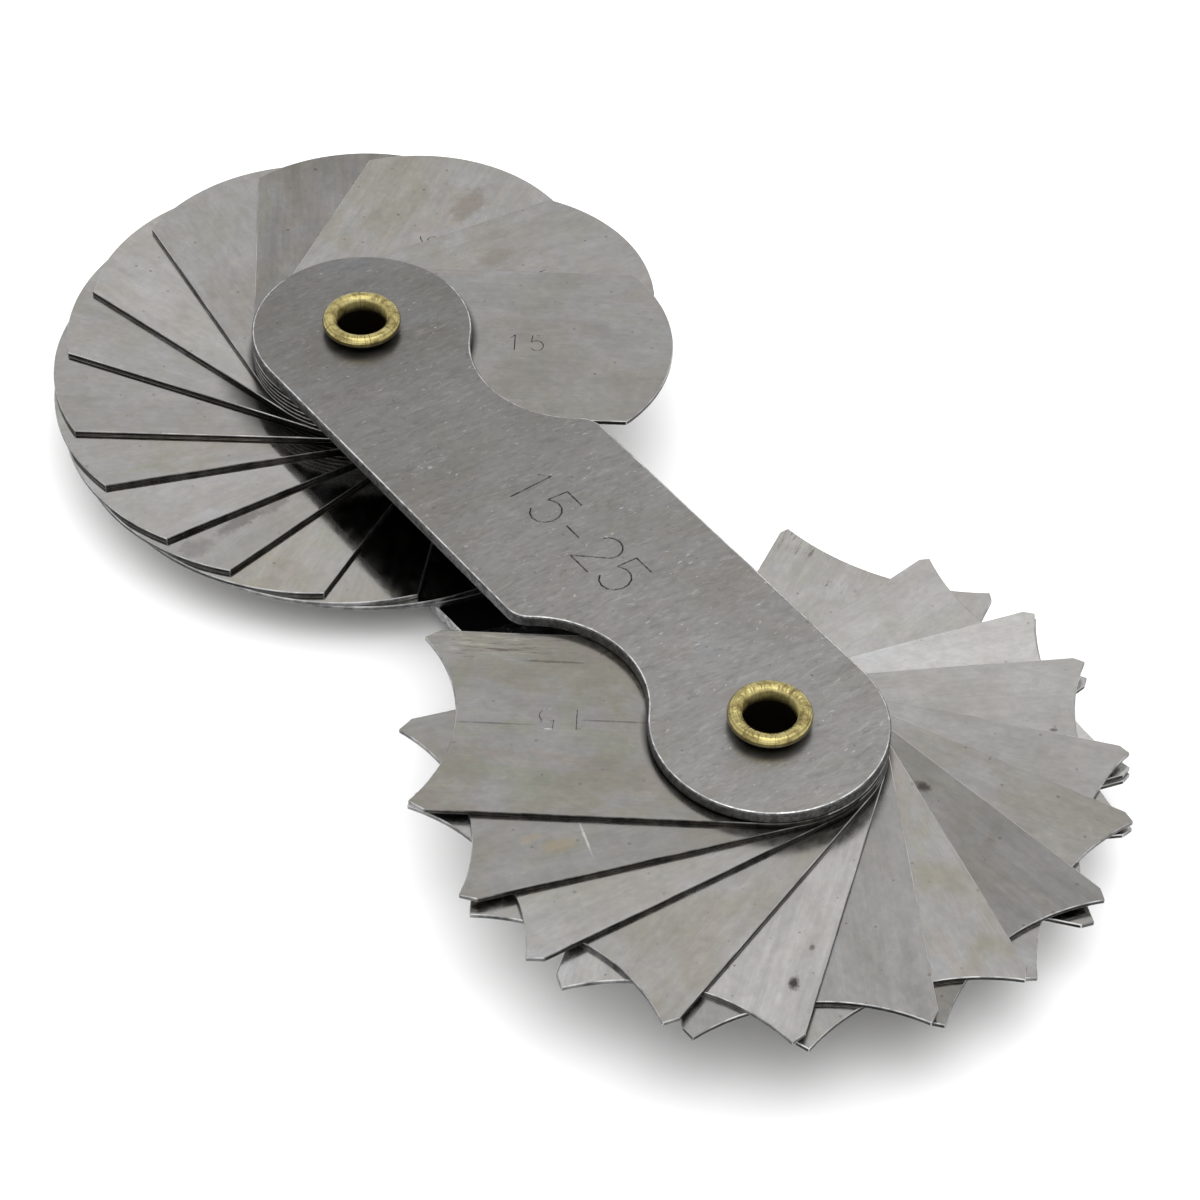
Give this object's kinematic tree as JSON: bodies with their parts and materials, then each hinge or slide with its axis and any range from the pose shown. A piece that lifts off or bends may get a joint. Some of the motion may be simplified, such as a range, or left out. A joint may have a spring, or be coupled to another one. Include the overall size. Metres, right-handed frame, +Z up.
{
  "type": "radius gauge",
  "caption": "Folding radius gauge: thin steel leaves with convex and hollow tips fan out from both ends of a two-plate steel holder on hollow brass rivets.",
  "frame": {"origin": "centre of the bore of the convex fan's rivet, midway between the two holder plates", "axes": "+Z up, out of the top plate's face and along both rivets; +X from the convex fan's rivet to the concave fan's rivet; +Y across the holder"},
  "size_m": [0.121, 0.0624, 0.0129],
  "materials": {
    "plate_steel": "worn satin",
    "leaf_steel": "worn satin, stained",
    "rivet_brass": "rolled, scratched"
  },
  "bodies": {
    "holder": {"top_plate": "plate_steel", "bottom_plate": "plate_steel", "convex_rivet": "rivet_brass", "concave_rivet": "rivet_brass"},
    "convex_leaf_15": {"convex_leaf_15": "leaf_steel"},
    "convex_leaf_15_5": {"convex_leaf_15_5": "leaf_steel"},
    "convex_leaf_16": {"convex_leaf_16": "leaf_steel"},
    "convex_leaf_16_5": {"convex_leaf_16_5": "leaf_steel"},
    "convex_leaf_17": {"convex_leaf_17": "leaf_steel"},
    "convex_leaf_17_5": {"convex_leaf_17_5": "leaf_steel"},
    "convex_leaf_18": {"convex_leaf_18": "leaf_steel"},
    "convex_leaf_18_5": {"convex_leaf_18_5": "leaf_steel"},
    "convex_leaf_19": {"convex_leaf_19": "leaf_steel"},
    "convex_leaf_19_5": {"convex_leaf_19_5": "leaf_steel"},
    "convex_leaf_20": {"convex_leaf_20": "leaf_steel"},
    "convex_leaf_21": {"convex_leaf_21": "leaf_steel"},
    "convex_leaf_22": {"convex_leaf_22": "leaf_steel"},
    "convex_leaf_23": {"convex_leaf_23": "leaf_steel"},
    "convex_leaf_24": {"convex_leaf_24": "leaf_steel"},
    "convex_leaf_25": {"convex_leaf_25": "leaf_steel"},
    "concave_leaf_15": {"concave_leaf_15": "leaf_steel"},
    "concave_leaf_15_5": {"concave_leaf_15_5": "leaf_steel"},
    "concave_leaf_16": {"concave_leaf_16": "leaf_steel"},
    "concave_leaf_16_5": {"concave_leaf_16_5": "leaf_steel"},
    "concave_leaf_17": {"concave_leaf_17": "leaf_steel"},
    "concave_leaf_17_5": {"concave_leaf_17_5": "leaf_steel"},
    "concave_leaf_18": {"concave_leaf_18": "leaf_steel"},
    "concave_leaf_18_5": {"concave_leaf_18_5": "leaf_steel"},
    "concave_leaf_19": {"concave_leaf_19": "leaf_steel"},
    "concave_leaf_19_5": {"concave_leaf_19_5": "leaf_steel"},
    "concave_leaf_20": {"concave_leaf_20": "leaf_steel"},
    "concave_leaf_21": {"concave_leaf_21": "leaf_steel"},
    "concave_leaf_22": {"concave_leaf_22": "leaf_steel"},
    "concave_leaf_23": {"concave_leaf_23": "leaf_steel"},
    "concave_leaf_24": {"concave_leaf_24": "leaf_steel"},
    "concave_leaf_25": {"concave_leaf_25": "leaf_steel"}
  },
  "joints": [
    {"name": "convex_leaf_15_swing", "type": "hinge", "parent": "holder", "child": "convex_leaf_15", "pos_m": [0, 0, 0], "axis": [0, 0, 1], "continuous": true},
    {"name": "convex_leaf_15_5_swing", "type": "hinge", "parent": "holder", "child": "convex_leaf_15_5", "pos_m": [0, 0, 0], "axis": [0, 0, 1], "continuous": true},
    {"name": "convex_leaf_16_swing", "type": "hinge", "parent": "holder", "child": "convex_leaf_16", "pos_m": [0, 0, 0], "axis": [0, 0, 1], "continuous": true},
    {"name": "convex_leaf_16_5_swing", "type": "hinge", "parent": "holder", "child": "convex_leaf_16_5", "pos_m": [0, 0, 0], "axis": [0, 0, 1], "continuous": true},
    {"name": "convex_leaf_17_swing", "type": "hinge", "parent": "holder", "child": "convex_leaf_17", "pos_m": [0, 0, 0], "axis": [0, 0, 1], "continuous": true},
    {"name": "convex_leaf_17_5_swing", "type": "hinge", "parent": "holder", "child": "convex_leaf_17_5", "pos_m": [0, 0, 0], "axis": [0, 0, 1], "continuous": true},
    {"name": "convex_leaf_18_swing", "type": "hinge", "parent": "holder", "child": "convex_leaf_18", "pos_m": [0, 0, 0], "axis": [0, 0, 1], "continuous": true},
    {"name": "convex_leaf_18_5_swing", "type": "hinge", "parent": "holder", "child": "convex_leaf_18_5", "pos_m": [0, 0, 0], "axis": [0, 0, 1], "continuous": true},
    {"name": "convex_leaf_19_swing", "type": "hinge", "parent": "holder", "child": "convex_leaf_19", "pos_m": [0, 0, 0], "axis": [0, 0, 1], "continuous": true},
    {"name": "convex_leaf_19_5_swing", "type": "hinge", "parent": "holder", "child": "convex_leaf_19_5", "pos_m": [0, 0, 0], "axis": [0, 0, 1], "continuous": true},
    {"name": "convex_leaf_20_swing", "type": "hinge", "parent": "holder", "child": "convex_leaf_20", "pos_m": [0, 0, 0], "axis": [0, 0, 1], "continuous": true},
    {"name": "convex_leaf_21_swing", "type": "hinge", "parent": "holder", "child": "convex_leaf_21", "pos_m": [0, 0, 0], "axis": [0, 0, 1], "continuous": true},
    {"name": "convex_leaf_22_swing", "type": "hinge", "parent": "holder", "child": "convex_leaf_22", "pos_m": [0, 0, 0], "axis": [0, 0, 1], "continuous": true},
    {"name": "convex_leaf_23_swing", "type": "hinge", "parent": "holder", "child": "convex_leaf_23", "pos_m": [0, 0, 0], "axis": [0, 0, 1], "continuous": true},
    {"name": "convex_leaf_24_swing", "type": "hinge", "parent": "holder", "child": "convex_leaf_24", "pos_m": [0, 0, 0], "axis": [0, 0, 1], "continuous": true},
    {"name": "convex_leaf_25_swing", "type": "hinge", "parent": "holder", "child": "convex_leaf_25", "pos_m": [0, 0, 0], "axis": [0, 0, 1], "continuous": true},
    {"name": "concave_leaf_15_swing", "type": "hinge", "parent": "holder", "child": "concave_leaf_15", "pos_m": [0.061, 0, 0], "axis": [0, 0, 1], "continuous": true},
    {"name": "concave_leaf_15_5_swing", "type": "hinge", "parent": "holder", "child": "concave_leaf_15_5", "pos_m": [0.061, 0, 0], "axis": [0, 0, 1], "continuous": true},
    {"name": "concave_leaf_16_swing", "type": "hinge", "parent": "holder", "child": "concave_leaf_16", "pos_m": [0.061, 0, 0], "axis": [0, 0, 1], "continuous": true},
    {"name": "concave_leaf_16_5_swing", "type": "hinge", "parent": "holder", "child": "concave_leaf_16_5", "pos_m": [0.061, 0, 0], "axis": [0, 0, 1], "continuous": true},
    {"name": "concave_leaf_17_swing", "type": "hinge", "parent": "holder", "child": "concave_leaf_17", "pos_m": [0.061, 0, 0], "axis": [0, 0, 1], "continuous": true},
    {"name": "concave_leaf_17_5_swing", "type": "hinge", "parent": "holder", "child": "concave_leaf_17_5", "pos_m": [0.061, 0, 0], "axis": [0, 0, 1], "continuous": true},
    {"name": "concave_leaf_18_swing", "type": "hinge", "parent": "holder", "child": "concave_leaf_18", "pos_m": [0.061, 0, 0], "axis": [0, 0, 1], "continuous": true},
    {"name": "concave_leaf_18_5_swing", "type": "hinge", "parent": "holder", "child": "concave_leaf_18_5", "pos_m": [0.061, 0, 0], "axis": [0, 0, 1], "continuous": true},
    {"name": "concave_leaf_19_swing", "type": "hinge", "parent": "holder", "child": "concave_leaf_19", "pos_m": [0.061, 0, 0], "axis": [0, 0, 1], "continuous": true},
    {"name": "concave_leaf_19_5_swing", "type": "hinge", "parent": "holder", "child": "concave_leaf_19_5", "pos_m": [0.061, 0, 0], "axis": [0, 0, 1], "continuous": true},
    {"name": "concave_leaf_20_swing", "type": "hinge", "parent": "holder", "child": "concave_leaf_20", "pos_m": [0.061, 0, 0], "axis": [0, 0, 1], "continuous": true},
    {"name": "concave_leaf_21_swing", "type": "hinge", "parent": "holder", "child": "concave_leaf_21", "pos_m": [0.061, 0, 0], "axis": [0, 0, 1], "continuous": true},
    {"name": "concave_leaf_22_swing", "type": "hinge", "parent": "holder", "child": "concave_leaf_22", "pos_m": [0.061, 0, 0], "axis": [0, 0, 1], "continuous": true},
    {"name": "concave_leaf_23_swing", "type": "hinge", "parent": "holder", "child": "concave_leaf_23", "pos_m": [0.061, 0, 0], "axis": [0, 0, 1], "continuous": true},
    {"name": "concave_leaf_24_swing", "type": "hinge", "parent": "holder", "child": "concave_leaf_24", "pos_m": [0.061, 0, 0], "axis": [0, 0, 1], "continuous": true},
    {"name": "concave_leaf_25_swing", "type": "hinge", "parent": "holder", "child": "concave_leaf_25", "pos_m": [0.061, 0, 0], "axis": [0, 0, 1], "continuous": true}
  ]
}
